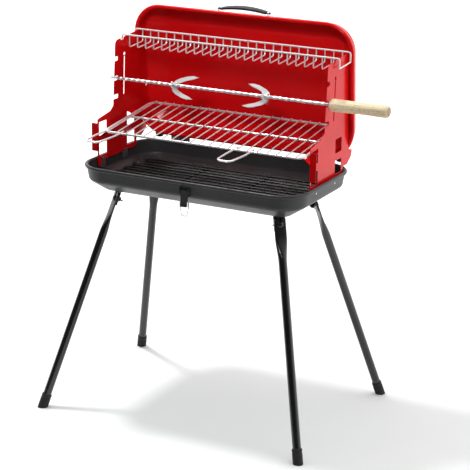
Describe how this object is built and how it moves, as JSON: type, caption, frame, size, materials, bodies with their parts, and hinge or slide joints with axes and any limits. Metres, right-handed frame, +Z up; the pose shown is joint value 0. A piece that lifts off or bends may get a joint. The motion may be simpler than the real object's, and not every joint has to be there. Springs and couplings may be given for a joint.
{
  "type": "rotisserie spit roaster",
  "caption": "Portable suitcase charcoal barbecue on four splayed legs with an open lid, side wind panels, hand-turned spit with forks, cooking grid and warming rack.",
  "frame": {"origin": "on the floor, midway between the widest points", "axes": "+Z up, +Y to the rear where the lid is hinged, +X to the right along the spit, whose wooden handle is on the right"},
  "size_m": [0.725, 0.4628, 0.8811],
  "materials": {
    "black_enamel": "satin heat-resistant black enamel",
    "leg_enamel": "satin black powder coat",
    "red_enamel": "glossy red enamel",
    "zinc_plate": "bright zinc plate",
    "chrome_wire": "chrome-plated steel wire",
    "chrome_steel": "chrome-plated steel",
    "beech": "sanded pale beech",
    "black_plastic": "moulded black plastic",
    "black_rubber": "moulded black rubber"
  },
  "bodies": {
    "case": {"tray_pan": "black_enamel", "latch_base": "black_enamel", "wind_panel_left": "red_enamel", "wind_panel_right": "red_enamel", "hinge_tray_leaf_left": "zinc_plate", "hinge_tray_leaf_right": "zinc_plate", "hinge_pin_left": "zinc_plate", "hinge_pin_right": "zinc_plate", "panel_clip_front_left": "zinc_plate", "panel_clip_front_right": "zinc_plate", "panel_clip_rear_left": "zinc_plate", "panel_clip_rear_right": "zinc_plate", "leg_bracket_front_left": "leg_enamel", "leg_bracket_front_right": "leg_enamel", "leg_bracket_rear_left": "leg_enamel", "leg_bracket_rear_right": "leg_enamel", "leg_bolt_front_left": "leg_enamel", "leg_bolt_front_right": "leg_enamel", "leg_bolt_rear_left": "leg_enamel", "leg_bolt_rear_right": "leg_enamel"},
    "lid": {"lid_shell": "red_enamel", "hinge_lid_leaf_left": "zinc_plate", "hinge_lid_leaf_right": "zinc_plate", "handle_bracket_left": "zinc_plate", "handle_bracket_right": "zinc_plate", "lid_catch": "zinc_plate", "standing_foot_left": "black_rubber", "standing_foot_right": "black_rubber"},
    "lid_handle": {"lid_handle": "black_plastic"},
    "latch_lever": {"latch_lever": "black_enamel"},
    "latch_bail": {"latch_bail": "zinc_plate"},
    "spit": {"spit_rod": "chrome_steel", "spit_handle": "beech", "spit_collar": "chrome_steel"},
    "fork_left": {"fork_left": "chrome_steel"},
    "fork_right": {"fork_right": "chrome_steel"},
    "fork_screw_left": {"fork_screw_left": "zinc_plate"},
    "fork_screw_right": {"fork_screw_right": "zinc_plate"},
    "cooking_grid": {"cooking_grid": "chrome_wire"},
    "warming_rack": {"warming_rack": "chrome_wire"},
    "charcoal_grate": {"charcoal_grate": "black_enamel"},
    "leg_front_left": {"leg_front_left": "leg_enamel", "foot_cap_front_left": "black_rubber"},
    "wing_nut_front_left": {"wing_nut_front_left": "leg_enamel"},
    "leg_front_right": {"leg_front_right": "leg_enamel", "foot_cap_front_right": "black_rubber"},
    "wing_nut_front_right": {"wing_nut_front_right": "leg_enamel"},
    "leg_rear_left": {"leg_rear_left": "leg_enamel", "foot_cap_rear_left": "black_rubber"},
    "wing_nut_rear_left": {"wing_nut_rear_left": "leg_enamel"},
    "leg_rear_right": {"leg_rear_right": "leg_enamel", "foot_cap_rear_right": "black_rubber"},
    "wing_nut_rear_right": {"wing_nut_rear_right": "leg_enamel"}
  },
  "joints": [
    {"name": "lid_hinge", "type": "hinge", "parent": "case", "child": "lid", "pos_m": [-0.034, 0.1485, 0.5698], "axis": [-1, 0, 0], "range_deg": [0, 20]},
    {"name": "lid_handle_fold", "type": "hinge", "parent": "lid", "child": "lid_handle", "pos_m": [-0.034, 0.12805, 0.87112], "axis": [1, 0, 0], "range_deg": [-38, 38]},
    {"name": "latch_lever_turn", "type": "hinge", "parent": "case", "child": "latch_lever", "pos_m": [-0.029, -0.1495, 0.531], "axis": [-1, 0, 0], "range_deg": [0, 100]},
    {"name": "latch_bail_swing", "type": "hinge", "parent": "latch_lever", "child": "latch_bail", "pos_m": [-0.029, -0.1491, 0.513], "axis": [-1, 0, 0], "range_deg": [0, 90]},
    {"name": "spit_turn", "type": "hinge", "parent": "case", "child": "spit", "pos_m": [-0.034, 0.015, 0.7145], "axis": [1, 0, 0], "continuous": true},
    {"name": "fork_left_slide", "type": "slide", "parent": "spit", "child": "fork_left", "axis": [1, 0, 0], "range_m": [-0.03, 0.03]},
    {"name": "fork_screw_left_turn", "type": "hinge", "parent": "fork_left", "child": "fork_screw_left", "pos_m": [-0.145, 0.015, 0.7145], "axis": [0, 0.8192, -0.5736], "continuous": true},
    {"name": "fork_right_slide", "type": "slide", "parent": "spit", "child": "fork_right", "axis": [1, 0, 0], "range_m": [-0.03, 0.03]},
    {"name": "fork_screw_right_turn", "type": "hinge", "parent": "fork_right", "child": "fork_screw_right", "pos_m": [0.077, 0.015, 0.7145], "axis": [0, 0.8192, -0.5736], "continuous": true},
    {"name": "cooking_grid_lift", "type": "slide", "parent": "case", "child": "cooking_grid", "axis": [0, 0, 1], "range_m": [0, 0.04]},
    {"name": "warming_rack_lift", "type": "slide", "parent": "case", "child": "warming_rack", "axis": [0, -0.7071, 0.7071], "range_m": [0, 0.06]},
    {"name": "charcoal_grate_lift", "type": "slide", "parent": "case", "child": "charcoal_grate", "axis": [0, 0, 1], "range_m": [0, 0.03]},
    {"name": "leg_front_left_pull", "type": "slide", "parent": "case", "child": "leg_front_left", "axis": [-0.23, -0.2612, -0.9375], "range_m": [0, 0.03]},
    {"name": "leg_front_right_pull", "type": "slide", "parent": "case", "child": "leg_front_right", "axis": [0.23, -0.2612, -0.9375], "range_m": [0, 0.03]},
    {"name": "leg_rear_left_pull", "type": "slide", "parent": "case", "child": "leg_rear_left", "axis": [-0.23, 0.2612, -0.9375], "range_m": [0, 0.03]},
    {"name": "leg_rear_right_pull", "type": "slide", "parent": "case", "child": "leg_rear_right", "axis": [0.23, 0.2612, -0.9375], "range_m": [0, 0.03]},
    {"name": "wing_nut_front_left_turn", "type": "hinge", "parent": "case", "child": "wing_nut_front_left", "pos_m": [-0.23553, -0.08887, 0.47069], "axis": [-0.6196, -0.7036, 0.348], "continuous": true},
    {"name": "wing_nut_front_right_turn", "type": "hinge", "parent": "case", "child": "wing_nut_front_right", "pos_m": [0.16753, -0.08887, 0.47069], "axis": [0.6196, -0.7036, 0.348], "continuous": true},
    {"name": "wing_nut_rear_left_turn", "type": "hinge", "parent": "case", "child": "wing_nut_rear_left", "pos_m": [-0.23553, 0.08887, 0.47069], "axis": [-0.6196, 0.7036, 0.348], "continuous": true},
    {"name": "wing_nut_rear_right_turn", "type": "hinge", "parent": "case", "child": "wing_nut_rear_right", "pos_m": [0.16753, 0.08887, 0.47069], "axis": [0.6196, 0.7036, 0.348], "continuous": true}
  ]
}
